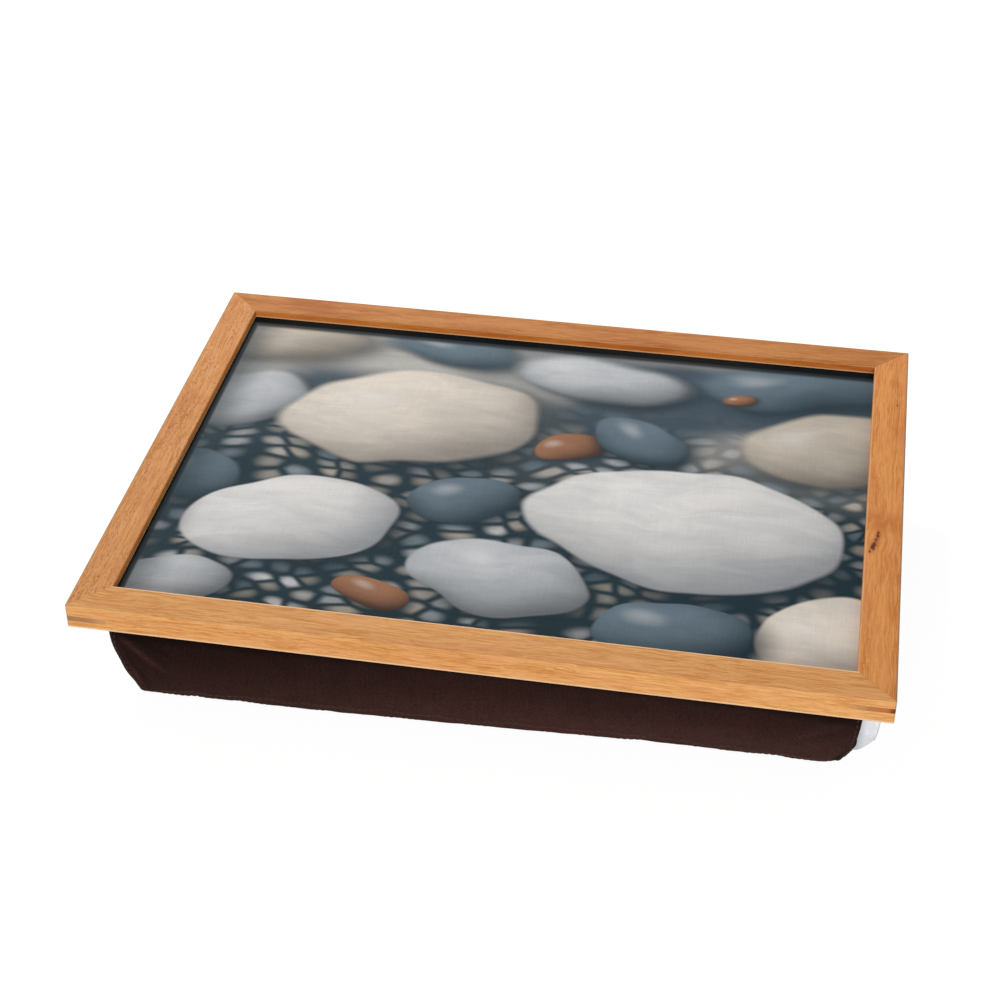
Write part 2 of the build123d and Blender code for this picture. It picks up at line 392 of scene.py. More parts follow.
def make_stone_group():
    """One smooth river stone of the print, painted over what lies below it."""
    b, given = new_group(
        "River stone",
        Vector="Position Centre Turn Radii",
        Color="Below Light Shade",
        Float="Blur Shadow",
    )
    sockets = {"Vector": "Position", "Location": "Centre", "Rotation": "Turn", "Scale": "Radii"}
    feeds = {key: given[label] for key, label in sockets.items()}
    x, y, z = b.split(b.out("ShaderNodeMapping", feeds, vector_type="TEXTURE"))
    flat = b.join(x, y)
    radius = b.vector("LENGTH", flat)
    mask = b.fade(radius, 1.0 - given["Blur"], 1.0 + given["Blur"], 1.0, 0.0)
    dome = b.math("SQRT", b.math("MAXIMUM", 1.0 - radius * radius, 0.0))
    slope = b.vector("DOT_PRODUCT", flat, (-0.30, 0.52, 0.0))
    body = b.mix(b.fade(slope + dome * 0.52, -0.42, 0.80), given["Shade"], given["Light"])
    shine = b.vector("DISTANCE", flat, (-0.34, 0.42, 0.0))
    body = b.mix(b.fade(shine, 0.0, 0.42, 0.30, 0.0), body, (0.86, 0.85, 0.83))
    drop = b.vector("DISTANCE", flat, (0.16, -0.20, 0.0))
    shadow = b.fade(drop, 0.72, 1.34, 1.0, 0.0) * given["Shadow"]
    below = b.mix(shadow, given["Below"], (0.006, 0.023, 0.033))
    b.give(Color=b.mix(mask, below, body))


# Wood


# Colours of painted highlights along the rounded edges
EDGE_HIGHLIGHT, AMBER_HIGHLIGHT, STRAW_HIGHLIGHT = (0.86, 0.60, 0.36), (0.90, 0.56, 0.26), (0.86, 0.62, 0.40)
# No two boards are alike. For each rail: where its grain is cut from, in metres, its shares of
# flecks, fine lines and clouds, what its wood is multiplied with, and the painted highlight on its
# inner top edge: radius in mm, strength and colour
RAILS = {
    "front": ((0.31, 0.10, 0.05), (0.36, 0.76, 0.12), (1.025, 1.095, 1.115), (1.05, 0.75, EDGE_HIGHLIGHT)),
    "back": ((1.72, 0.44, 0.21), (0.45, 0.66, 0.62), (0.735, 0.645, 0.57), (0.20, 0.55, AMBER_HIGHLIGHT)),
    "left": ((2.63, 0.83, 0.62), (1.00, 0.66, 0.30), (0.93, 0.92, 0.95), (0.20, 0.55, AMBER_HIGHLIGHT)),
    "right": ((4.15, 0.27, 0.93), (0.35, 0.68, 0.32), (0.97, 0.86, 0.71), (0.80, 0.22, STRAW_HIGHLIGHT)),
}
# Dark specks of the right rail's knot and one by itself: place and size in mm
KNOT_PIPS = (
    (201.8, -25.9, 0.60),
    (201.6, -28.9, 0.55),
    (200.8, -32.6, 0.55),
    (200.2, -36.0, 0.60),
    (199.3, -38.6, 0.85),
    (197.8, -42.9, 0.35),
    (209.4, 102.2, 0.32),
)
# The pips' ragged field is squeezed along the rail, and the flush of red wood is broad
KNOT_MIDDLE, KNOT_FLUSH = (200.5, -32.0), (203.0, -15.0)
PIP_SQUEEZE, FLUSH_SQUEEZE = 0.42, (0.5, 0.62)


def grain(b, position, offset, shares, pale, dark):
    feeds = {"Position": position, "Offset": offset, "Pale": pale, "Dark": dark}
    return b.group("Beech grain", **feeds, **dict(zip(("Flecks", "Lines", "Clouds"), shares)))


def oiled(material, b, beech, color, roughness):
    looks = {"Base_Color": color, "Roughness": roughness, "Specular_IOR_Level": 0.06}
    return surface(material, b, **looks, Normal=b.bump(beech["Height"], 0.12 * MM, 0.5))


def mitre_shade(b, x, y):
    """Thin dark line where two rails meet at 45 degrees."""
    gap = abs((HALF_WIDTH * MM - abs(x)) - (HALF_DEPTH * MM - abs(y)))
    return b.fade(gap, 0.05 * MM, 0.32 * MM, 0.24, 0.0)


def rail_edges(b, side, color, x, y, z):
    """Painted highlights along the edges, painted shade along the outer top edge of all but the front
    rail, and deep orange painted where the inner wall glows from the light on the print.
    """
    outward, outer = (abs(x), HALF_WIDTH * MM) if side in BESIDE else (abs(y), HALF_DEPTH * MM)
    inner, top = outer - RAIL_WIDTH * MM, RAIL_TOP * MM
    # Painted light: the inner wall turns deep orange where it glows from the light on the print
    wall = b.fade(outward - inner, 0.15 * MM, 0.8 * MM, 0.95, 0.0)
    wall = wall * b.fade(z, top - 0.9 * MM, top - 0.3 * MM, 1.0, 0.0)
    color = b.mix(wall, color, color * (1.12, 0.84, 0.46))
    # Painted highlights: along the foot of the inner wall, the lower outer edge and the inner top
    # edge
    edges = [
        (inner, PICTURE_TOP * MM, 0.75, 0.70, (0.72, 0.44, 0.22)),
        (outer, (RAIL_BOTTOM + 0.8) * MM, 0.45, 0.60, EDGE_HIGHLIGHT),
        (inner, top, *RAILS[side][-1]),
    ]
    # Painted shade: a dark line where the outer top edge rounds away
    if side != "front":
        edges.append((outer, top, 0.30, 0.65, (0.36, 0.25, 0.15)))
    for edge_out, edge_up, radius, strength, shade in edges:
        off = b.vector("LENGTH", b.join(outward - edge_out, z - edge_up))
        color = b.mix(b.fade(off, radius * MM, (radius + 0.5) * MM, strength, 0.0), color, shade)
    return color


def knot_sweep(b, x, y):
    """Grain that bends round the small knots of the right rail."""
    middle_x, middle_y = KNOT_MIDDLE[0] * MM, KNOT_MIDDLE[1] * MM
    near = b.spot(b.join(x, y), (middle_x, middle_y, 0), 2 * MM, 16 * MM)
    return b.join(0.0, (x - middle_x) * near * -0.45)


def knot(b, color, place, x, y):
    """Row of small dark pips and the flush of red wood beside them."""
    broad = b.join(x * FLUSH_SQUEEZE[0], y * FLUSH_SQUEEZE[1])
    flush_at = [middle * squeeze * MM for middle, squeeze in zip(KNOT_FLUSH, FLUSH_SQUEEZE)]
    flush = b.spot(broad, (*flush_at, 0), 1.5 * MM, 7 * MM) * 0.75
    mottle = b.fade(b.noise(place, (300, 120, 300)), 0.2, 0.6)
    color = b.mix(flush * mottle, color, (0.47, 0.145, 0.034))
    ragged = (b.noise(place, (700, 500, 700)) - 0.5) * (2.4 * MM)
    level = b.join(x + ragged, y * PIP_SQUEEZE)
    for at_x, at_y, size in KNOT_PIPS:
        middle = (at_x * MM, at_y * PIP_SQUEEZE * MM, 0)
        halo = b.spot(level, middle, size * 1.4 * MM, 2.2 * MM)
        color = b.mix(halo * 0.28, color, (0.37, 0.115, 0.040))
        pip = b.spot(level, middle, size * 0.72 * MM, size * 1.45 * MM)
        color = b.mix(pip * 0.92, color, (0.090, 0.014, 0.005))
    return color


def rail_material(side, wood):
    offset, shares, tinge, _ = RAILS[side]
    material, b = new_material(f"frame_rail_{side}_beech")
    place = b.place()
    x, y, z = b.split(place)
    position = b.join(y, x, z) if side in BESIDE else place
    if side == "right":
        position = position + knot_sweep(b, x, y)
    beech = grain(b, position, offset, shares, wood.pale, wood.dark)
    color = b.mix(1.0, beech["Color"], tinge, "MULTIPLY")
    if side == "right":
        color = knot(b, color, place, x, y)
    color = rail_edges(b, side, color, x, y, z)
    color = b.mix(mitre_shade(b, x, y), color, (0.16, 0.070, 0.030))
    return oiled(material, b, beech, color, beech["Gloss"] + wood.roughness)


def key_material(corner, wood):
    """Key wood: its grain runs across the corner, and the right-hand keys redden to their ends."""
    material, b = new_material(f"mitre_key_{corner}_wood")
    x, y, z = b.split(b.place())
    slant = -1 if corner in ("front_left", "back_right") else 1
    position = b.join(x + y * slant, x - y * slant, z)
    dark = (0.15, 0.062, 0.030)
    beech = grain(b, position, (0.7, 0.3, 0.9), (0.5, 0.6, 0.4), wood.key, dark)
    from_corner = HALF_WIDTH * MM - abs(x)
    if corner.endswith("right"):
        red = b.fade(from_corner, 1 * MM, 17 * MM, 0.85, 0.0)
        color = b.mix(red, beech["Color"], (0.46, 0.130, 0.038))
        tip = b.fade(from_corner, 0.5 * MM, 4 * MM, 0.85, 0.0)
        color = b.mix(tip, color, (0.11, 0.026, 0.012))
    else:
        color = b.mix(0.60, beech["Color"], (0.31, 0.175, 0.090))
    color = b.mix(b.fade(from_corner, 9 * MM, 21 * MM, 0.0, 0.50), color, wood.pale)
    return oiled(material, b, beech, color, 0.7)


class LAPTRAY_OT_dress_rails(bpy.types.Operator):
    """Give each rail its own length of oiled beech"""

    bl_idname = "laptray.dress_rails"
    bl_label = "Dress Rails"

    def execute(self, context):
        for side in RAILS:
            dress(rail_material(side, context.scene.laptray_wood), f"frame_rail_{side}")
        return {"FINISHED"}


class LAPTRAY_OT_dress_keys(bpy.types.Operator):
    """Give the keys across the mitres their darker wood"""

    bl_idname = "laptray.dress_keys"
    bl_label = "Dress Mitre Keys"

    def execute(self, context):
        for corner in CORNERS:
            dress(key_material(corner, context.scene.laptray_wood), f"mitre_key_{corner}")
        return {"FINISHED"}


# Board


# Light and shaded colour of each kind of stone
CREAM = (0.80, 0.71, 0.61), (0.30, 0.265, 0.23)
MILK = (0.80, 0.77, 0.74), (0.31, 0.32, 0.33)
GREY = (0.57, 0.58, 0.59), (0.155, 0.168, 0.180)
SLATE = (0.140, 0.195, 0.235), (0.016, 0.036, 0.050)
SAND = (0.58, 0.51, 0.42), (0.165, 0.145, 0.12)
RUST = (0.36, 0.165, 0.085), (0.060, 0.026, 0.016)
TAUPE = (0.41, 0.37, 0.315)

# Stones of the print, the far ones first: middle and half sizes in mm, turn in degrees, colours,
# blur of the outline and strength of the shadow
STONES = (
    ((-166, 116), (50, 24), 6, SAND, 0.30, 0.5),
    ((-62, 124), (44, 19), -8, SLATE, 0.28, 0.5),
    ((150, 118), (64, 27), 8, SLATE, 0.24, 0.6),
    ((118, 100), (13, 6), 24, RUST, 0.30, 0.4),
    ((30, 106), (50, 23), -8, GREY, 0.17, 0.8),
    ((-174, 52), (36, 27), 14, GREY, 0.12, 0.8),
    ((170, 56), (52, 33), 14, SAND, 0.09, 0.9),
    ((-74, 48), (76, 46), 8, CREAM, 0.05, 0.95),
    ((22, 34), (22, 13), 28, RUST, 0.07, 0.9),
    ((64, 46), (30, 19), -24, SLATE, 0.07, 0.9),
    ((-190, -24), (34, 24), -18, SLATE, 0.05, 0.9),
    ((-26, -26), (36, 22), 10, SLATE, 0.04, 0.9),
    ((100, -34), (88, 54), -7, MILK, 0.028, 1.0),
    ((-122, -62), (62, 39), 17, MILK, 0.028, 1.0),
    ((2, -92), (50, 31), -12, GREY, 0.028, 0.95),
    ((186, -112), (44, 31), 20, CREAM, 0.035, 0.9),
    ((98, -122), (44, 23), 6, SLATE, 0.03, 0.9),
    ((-62, -116), (20, 12), -18, RUST, 0.04, 0.9),
    ((-176, -128), (38, 22), 10, GREY, 0.04, 0.9),
)


def print_ground(b, settings, place):
    """Slate and pale haze out of focus, with wet gravel where the picture is sharp."""
    x, y, z = b.split(place)
    soft = b.noise(place + (0.31, 0.62, 0), (7.5, 12, 1), 1)
    far = b.mix(b.fade(soft, 0.44, 0.64), settings.ground, settings.haze)
    feeds = {"Vector": place * (58, 90, 1), "Scale": 1.0, "Randomness": 0.9}
    cell, border = (
        b.outs("ShaderNodeTexVoronoi", feeds, voronoi_dimensions="2D", feature=feature)
        for feature in ("F1", "DISTANCE_TO_EDGE")
    )
    pick, warm, low = b.split(cell["Color"])
    pebble = b.mix(b.fade(pick, 0.15, 0.9), SLATE[0], GREY[0])
    pebble = b.mix(b.fade(warm, 0.35, 0.75), pebble, TAUPE)
    domed = b.fade(cell["Distance"], 0.05, 0.66, 1.18, 0.0) * b.fade(low, 0.0, 0.6, 0.5, 1.0)
    cover = b.math("MULTIPLY", domed, b.fade(border["Distance"], 0.0, 0.26), clamp=True)
    pebble = b.mix(cover, (0.006, 0.027, 0.039), pebble)
    return b.mix(b.fade(y, -0.02, 0.085, 1.0, 0.0), far, pebble)


def print_material(settings):
    material, b = new_material("picture_laminate_print")
    x, y, z = b.split(b.place())
    level = b.join(x, y)
    warp = b.out("ShaderNodeTexNoise", {"Vector": level, "Scale": 14.0, "Detail": 1.0}, "Color")
    position = level + (warp - (0.5, 0.5, 0.5)) * (0.030, 0.030, 0)
    color = print_ground(b, settings, position)
    for middle, radii, turn, (light, shade), blur, shadow in STONES:
        stone = {"Centre": (*times(middle, MM), 0), "Radii": (*times(radii, MM), 1)}
        stone |= {"Light": light, "Shade": shade, "Blur": blur, "Shadow": shadow}
        stone |= {"Turn": (0, 0, radians(turn)), "Position": position, "Below": color}
        color = b.group("River stone", **stone)["Color"]
        position = one_by_one(b, position, color)
    from_back = (HALF_DEPTH - RAIL_WIDTH) * MM - y
    from_left = (HALF_WIDTH - RAIL_WIDTH) * MM + x
    left_shade = b.fade(from_left, 3 * MM, 28 * MM, 0.68, 0.0)
    color = b.mix(left_shade, color, (0.020, 0.040, 0.052))
    # Painted shadows of the back and left rails: near-black bands on the print beside them
    back_rail_shadow = b.fade(from_back, 8 * MM, 12 * MM, 0.95, 0.0)
    left_rail_shadow = b.fade(from_left, 2.5 * MM, 4.5 * MM, 0.95, 0.0)
    color = b.mix(b.math("MAXIMUM", back_rail_shadow, left_rail_shadow), color, (0.003, 0.008, 0.010))
    veins = b.fade(b.noise(position, (26, 78, 1), 4, 0.6, 0.5), 0.30, 0.72, 0.32, 0.0)
    color = b.mix(veins, color, color * (0.50, 0.53, 0.57))
    linen = b.group("Linen emboss", Position=level, Pitch=settings.linen_pitch)["Height"]
    # Painted shade in the hollows between the linen threads
    threads = b.fade(linen, 0.1, 0.9, 0.30, 0.0)
    rough = settings.roughness
    return surface(
        material,
        b,
        Base_Color=b.mix(threads, color, color * (0.50, 0.52, 0.54)),
        Roughness=b.fade(linen, 0.0, 1.0, rough + 0.08, rough - 0.05),
        Specular_IOR_Level=0.045,
        Normal=b.bump(linen, 0.06 * MM, 0.6),
    )


def fibreboard_material():
    material, b = new_material("tray_board_fibre")
    fibre = b.noise(b.place(), (900, 900, 2400), 4, 0.7)
    color = b.mix(b.fade(fibre, 0.3, 0.7), (0.30, 0.19, 0.105), (0.45, 0.31, 0.18))
    relief = b.bump(fibre, 0.15 * MM, 0.6)
    return surface(material, b, Base_Color=color, Roughness=0.85, Normal=relief)


def backing_material():
    material, b = new_material("backing_laminate_film")
    orange_peel = b.noise(b.place(), (700, 700, 1), 3, 0.55)
    scuffs = b.noise(b.place(), (18, 520, 1), 3, 0.6)
    tone = orange_peel * 0.5 + b.fade(scuffs, 0.55, 0.8, 0.0, 0.5)
    color = b.mix(tone, (0.016, 0.014, 0.013), (0.045, 0.040, 0.037))
    gloss = b.fade(scuffs, 0.4, 0.75, 0.46, 0.62)
    relief = b.bump(orange_peel, 0.05 * MM, 0.6)
    return surface(material, b, Base_Color=color, Roughness=gloss, Normal=relief)


class LAPTRAY_OT_dress_board(bpy.types.Operator):
    """Print the stones on the laminate, and finish the core and the backing"""

    bl_idname = "laptray.dress_board"
    bl_label = "Dress Printed Board"

    def execute(self, context):
        dress(print_material(context.scene.laptray_print), "picture_laminate")
        dress(fibreboard_material(), "tray_board")
        dress(backing_material(), "backing_laminate")
        return {"FINISHED"}


# Hook and loop tape


TAPE_STITCH_INSET, TAPE_STITCH_PITCH = 2.6 * MM, 3.4 * MM


def tape_inside(b, name):
    """How far inside the edge of its tape a point lies."""
    low, high = span(name + "_front_right")
    middle, half = (low + high) / 2 * MM, (high - low) / 2 * MM
    inside = []
    for axis, value in enumerate(b.split(b.place())[:2]):
        off = abs(abs(value) - float(abs(middle[axis])))
        inside.append(float(half[axis]) - off)
    return b.math("MINIMUM", *inside)


def tape_material(name, color, tip, pitch, depth, thread=None):
    """Nylon tape: its hooks or pile, a smooth selvedge, and stitches pulled in beside its edge, with
    painted shade in the groove there.
    """
    material, b = new_material(name + "_nylon")
    place = b.place()
    weave = b.group("Plain weave", Position=place, Pitch=pitch, Slub=0.5)
    pile = b.noise(place, (900, 900, 900), 2, 0.7)
    inside = tape_inside(b, name)
    rise = (weave["Height"] * 0.6 + pile) * b.fade(inside, 1.2 * MM, 1.7 * MM)
    color = b.mix(b.fade(rise, 0.3, 1.1), color, tip)
    if thread:
        x, y, z = b.split(place)
        run = b.math("SINE", (x + y) * (2 * pi / TAPE_STITCH_PITCH))
        line = abs(inside - TAPE_STITCH_INSET)
        # Painted shade in the groove beside the stitches
        groove_shade = b.fade(line, 0.3 * MM, 1.1 * MM, 0.6, 0.0)
        color = b.mix(groove_shade, color, (0.006, 0.005, 0.005))
        dash = b.fade(line, 0.25 * MM, 0.45 * MM, 1.0, 0.0) * b.fade(run, -0.45, -0.15)
        color = b.mix(dash, color, times(thread, 1.6))
    looks = {"Roughness": 0.9, "Specular_IOR_Level": 0.06, "Sheen_Weight": 0.04}
    return surface(material, b, Base_Color=color, Normal=b.bump(rise, depth, 0.9), **looks)


class LAPTRAY_OT_dress_tapes(bpy.types.Operator):
    """Finish the hook tape under the board and the loop tape on the cushion"""

    bl_idname = "laptray.dress_tapes"
    bl_label = "Dress Hook and Loop Tape"

    def execute(self, context):
        thread = tuple(context.scene.laptray_cushion.thread)
        hook = (0.010, 0.009, 0.009), (0.050, 0.045, 0.043), 1.4 * MM, 0.5 * MM
        loop = (0.016, 0.012, 0.011), (0.050, 0.037, 0.033), 0.9 * MM, 0.4 * MM, thread
        for name, recipe in (("hook_tape", hook), ("loop_tape", loop)):
            dress(tape_material(name, *recipe), *(f"{name}_{corner}" for corner in CORNERS))
        return {"FINISHED"}


# Cushion. Its cover is one closed mesh: a grid over the top, rows down the sides and a grid below.


# Side of the cushion from the floor up: height in mm, inset of the outline along X and along Y,
# and how far the sides draw in between the corners
SIDE_LEVELS = np.array(
    [
        (0.0, 24.0, 12.0, 3.0),
        (2.2, 17.0, 4.0, 4.2),
        (5.0, 13.0, 1.0, 4.6),
        (7.0, 10.8, -1.0, 5.0),
        (18.4, 3.4, -3.0, 5.0),
        (33.6, 0.0, -2.5, 4.2),
        (46.1, -1.0, -1.0, 3.2),
        (54.2, 0.0, 0.0, 2.5),
    ]
)
# Length of a side panel from seam to seam, and the pitch of its rows
SIDE_RUN, SIDE_PITCH = 52.0, 5.2
# Rise of the crown and of the foot, by the distance in from their seams
CROWN_RISE = (0, 5.7, 13.5, 22, 30), (0, 0.09, 0.56, 0.90, 1.0)
FOOT_INSET, FOOT_RISE = (13.0, 1.0), (0, 3.5, 7, 11, 16)


def smooth(value, low, high):
    share = np.clip((value - low) / (high - low), 0, 1)
    return share * share * (3 - 2 * share)


def hump(value, width):
    return np.exp(-((value / width) ** 2))


def cloth_steps(length, pitch):
    """Distances from one seam to the next: close beside the seams, then at the cloth's pitch."""
    near = np.array([0.0, 1.2, 3.0, 6.0])
    reach = 10.0
    middle = np.linspace(reach, length - reach, int(round((length - 2 * reach) / pitch)) + 1)
    return np.concatenate([near, middle, length - near[::-1]])


def side_of_outline(shares, half_along, half_out, radius, draw, quarter):
    """Points along one side of a level, from corner to corner; quarter 0 is the front."""
    total = pi * radius / 2 + 2 * (half_along - radius)
    along = shares * total - total / 2
    out = np.zeros_like(along)
    for sign in (-1, 1):
        past = sign * along - (half_along - radius)
        bend = np.clip(past / radius, 0, pi / 4)
        turned = past > 0
        along = np.where(turned, sign * (half_along - radius + radius * np.sin(bend)), along)
        out = np.where(turned, radius * (np.cos(bend) - 1), out)
    level = half_out + (out - draw * np.clip(1 - (along / half_along) ** 2, 0, 1))
    return ((along, -level), (level, along), (-along, level), (-level, -along))[quarter]


class CoverGrid:
    """Knows how the cover's points are numbered, so that seams can be found again after sewing."""

    def __init__(self, cushion):
        self.half_width = HALF_WIDTH - cushion.setback / MM
        self.half_depth = HALF_DEPTH - cushion.setback / MM
        self.radius = cushion.corner_radius / MM
        self.top_seam = RAIL_BOTTOM - cushion.seam_gap / MM
        self.bottom_seam = cushion.bottom_seam / MM
        pitch = cushion.cloth_pitch / MM
        arc = pi * self.radius / 4
        self.run_x, self.run_y = (
            cloth_steps(2 * (half - self.radius + arc), pitch)
            for half in (self.half_width, self.half_depth)
        )
        self.run_z = cloth_steps(SIDE_RUN, SIDE_PITCH)
        self.count_x, self.count_y = len(self.run_x) - 1, len(self.run_y) - 1
        self.rows = len(self.run_z)
        self.ring = 2 * (self.count_x + self.count_y)
        self.points, self.faces = [], []
        self.build_sides()
        self.top = self.build_cap(0, self.crown_height, False)
        self.bottom = self.build_cap(self.rows - 1, self.foot_height, True)

    def side_runs(self):
        return (self.run_x, self.run_y, self.run_x, self.run_y)

    def level_outline(self, height):
        inset_x, inset_y, draw = (
            np.interp(height, SIDE_LEVELS[:, 0], SIDE_LEVELS[:, i]) for i in (1, 2, 3)
        )
        halves = (self.half_width - inset_x, self.half_depth - inset_y)
        for quarter, run in enumerate(self.side_runs()):
            along, out = halves if quarter % 2 == 0 else halves[::-1]
            x, y = side_of_outline(run / run[-1], along, out, self.radius, draw, quarter)
            yield from zip(x[:-1], y[:-1])

    def build_sides(self):
        for run in self.run_z:
            height = self.top_seam - run / self.run_z[-1] * (self.top_seam - self.bottom_seam)
            self.points.extend((x, y, height) for x, y in self.level_outline(height))
        for start in range(0, (self.rows - 1) * self.ring, self.ring):
            below = start + self.ring
            for i in range(self.ring):
                after = (i + 1) % self.ring
                self.faces.append((start + i, below + i, below + after, start + after))

    def build_cap(self, row, height_at, facing_down):
        """Fills a seam ring with a grid whose lines run between its sides."""
        nx, ny = self.count_x, self.count_y
        ring = row * self.ring + np.arange(self.ring)
        grid = np.zeros((nx + 1, ny + 1), int)
        grid[:nx, 0], grid[nx, :ny] = ring[:nx], ring[nx : nx + ny]
        grid[:0:-1, ny], grid[0, :0:-1] = ring[nx + ny : nx + ny + nx], ring[nx + ny + nx :]
        edge = np.array(self.points)[grid, :2]
        u = (self.run_x / self.run_x[-1])[:, None, None]
        v = (self.run_y / self.run_y[-1])[None, :, None]

        def across(at):
            return (1 - v) * at[:, :1] + v * at[:, -1:]

        def along(at):
            return (1 - u) * at[:1] + u * at[-1:]

        place = across(edge) + along(edge) - along(across(edge))
        x, y = place[1:-1, 1:-1].reshape(-1, 2).T
        grid[1:-1, 1:-1] = len(self.points) + np.arange(len(x)).reshape(nx - 1, ny - 1)
        self.points.extend(zip(x, y, height_at(x, y)))
        for i in range(nx):
            for j in range(ny):
                face = (grid[i, j], grid[i + 1, j], grid[i + 1, j + 1], grid[i, j + 1])
                self.faces.append(face[::-1] if facing_down else face)
        return grid

    def from_edge(self, x, y, inset_x=0.0, inset_y=0.0):
        """Distance in from the seam, rounded off at the corners."""
        from_x = np.maximum(self.half_width - inset_x - np.abs(x), 0.01)
        from_y = np.maximum(self.half_depth - inset_y - np.abs(y), 0.01)
        return (from_x**-4.0 + from_y**-4.0) ** -0.25

    def crown_height(self, x, y):
        rise = np.interp(self.from_edge(x, y), *CROWN_RISE)
        return self.top_seam + rise * (CROWN_TOP - 0.1 - self.top_seam)

    def foot_height(self, x, y):
        heights = (self.bottom_seam, 2.6, 1.0, 0.2, 0.0)
        return np.interp(self.from_edge(x, y, *FOOT_INSET), FOOT_RISE, heights)

    def seam_distance(self):
        """For every point, how far it lies from the nearest seam, measured along the cloth."""
        nearest = [np.minimum(run, run[-1] - run) for run in (*self.side_runs(), self.run_z)]
        around = np.concatenate([near[:-1] for near in nearest[:4]])
        distance = np.zeros(len(self.points))
        sides = np.minimum(around, nearest[4][:, None])
        distance[: sides.size] = sides.ravel()
        for cap in (self.top, self.bottom):
            distance[cap] = np.minimum(nearest[0][:, None], nearest[1])
        return distance


def nearness(points, places):
    """Distance of every point from a broken line, and how far along it the nearest place lies."""
    best, along = np.full(len(points), 1e9), np.zeros(len(points))
    places = np.array(places, float)
    lengths = np.linalg.norm(np.diff(places, axis=0), axis=1)
    done = 0.0
    for a, b, length in zip(places, places[1:], lengths):
        share = np.clip((points - a) @ (b - a) / length**2, 0, 1)
        distance = np.linalg.norm(points - (a + share[:, None] * (b - a)), axis=1)
        closer = distance < best
        best = np.where(closer, distance, best)
        along = np.where(closer, (done + share * length) / lengths.sum(), along)
        done += length
    return best, along


# Folds in the cover that run down from the corners: the line each follows in mm, width and rise
FOLDS = (
    (((-199, -146, 49), (-193, -149, 36.5), (-178, -150, 23), (-160, -150, 14)), 3.0, 2.2),
    (((-197, -148, 33), (-189, -150, 18), (-180, -150, 7)), 2.2, 0.9),
    (((-196, -146, 44), (-181, -149, 36), (-160, -149, 31)), 3.4, -1.1),
    (((199, -147, 50), (192, -149, 36), (176, -149, 24)), 4.0, 0.9),
    (((200, -138, 47), (201, -120, 34), (200, -96, 24)), 4.5, 1.5),
    (((201, 140, 50), (201, 126, 36), (200, 104, 26)), 4.0, 1.6),
    (((-200, -140, 50), (-201, -122, 37), (-200, -96, 27)), 4.0, 1.5),
    (((-200, 141, 50), (-201, 124, 33), (-199, 104, 20)), 4.5, 1.7),
    (((198, 149, 50), (184, 150, 35), (160, 150, 25)), 4.5, 1.6),
    (((-199, 148, 50), (-186, 150, 38), (-160, 150, 24)), 4.2, 1.5),
    (((-196, 148, 36), (-186, 150, 20), (-172, 149, 10)), 3.2, 1.0),
    (((197, 148, 30), (189, 149, 18), (178, 148, 9)), 3.2, 1.0),
)

# How far the lower front edge stands forward or back along its length, in mm
FRONT_SWAY_X = (-190, -140, -85, 0, 51, 104, 156, 182, 192, 198)
FRONT_SWAY_Y = (-4.2, -4.2, -4.4, -1.8, 0.6, 3.4, 4.2, 4.6, 7.0, 9.0)
FRONT_CORNER, BACK_CORNER = (192, -146), (190, 146)


def settle(points):
    """Lets the filling lie unevenly: a sharp left front corner, and a fuller, rounder right one."""
    p = points.copy()
    z = points[:, 2]
    corner_x, corner_y = FRONT_CORNER
    near_right = smooth(np.hypot(p[:, 0] - corner_x, p[:, 1] - corner_y), 48, 10)
    p[:, 0] += near_right * (6.6 * smooth(z, 24, 3) + 1.8 * smooth(z, 22, 38))
    p[:, 0] += near_right * 3.4 * hump(z - 23, 7)
    low_front = smooth(z, 36, 5) * smooth(p[:, 1], -90, -140)
    p[:, 1] += np.interp(p[:, 0], FRONT_SWAY_X, FRONT_SWAY_Y) * low_front
    p[:, 1] -= 1.2 * near_right * smooth(z, 22, 38)
    near_left = smooth(np.hypot(p[:, 0] + corner_x, p[:, 1] - corner_y), 46, 10)
    p[:, 0] += near_left * 4.9 * smooth(z, 38, 20) * smooth(z, -3, 13)
    p[:, 0] += near_left * 1.7 * smooth(z, 30, 38)
    for side, rise in ((1, 3.0), (-1, 2.2)):
        near = np.hypot(p[:, 0] - side * BACK_CORNER[0], p[:, 1] - BACK_CORNER[1])
        p[:, 2] += rise * smooth(near, 30, 4) * smooth(p[:, 2], 24, 4)
    return p


def of_vertices(mesh, what):
    values = np.zeros(len(mesh.vertices) * 3)
    mesh.vertices.foreach_get(what, values)
    return values.reshape(-1, 3)


def mesh_points(mesh):
    return of_vertices(mesh, "co") / MM


def move_points(mesh, points):
    mesh.vertices.foreach_set("co", (points * MM).ravel())
    mesh.update()


def new_piece(name, points, faces):
    """A mesh object from points in millimetres."""
    mesh = bpy.data.meshes.new(name)
    mesh.from_pydata([tuple(p) for p in np.asarray(points) * MM], [], faces)
    mesh.update()
    mesh.polygons.foreach_set("use_smooth", [True] * len(mesh.polygons))
    piece = bpy.data.objects.new(name, mesh)
    bpy.context.scene.collection.objects.link(piece)
    return piece


CLOTH = {
    "quality": 6,
    "mass": 0.15,
    "tension_stiffness": 10,
    "compression_stiffness": 10,
    "shear_stiffness": 4,
    "bending_stiffness": 0.15,
    "shrink_min": -0.012,
    "use_pressure": True,
}


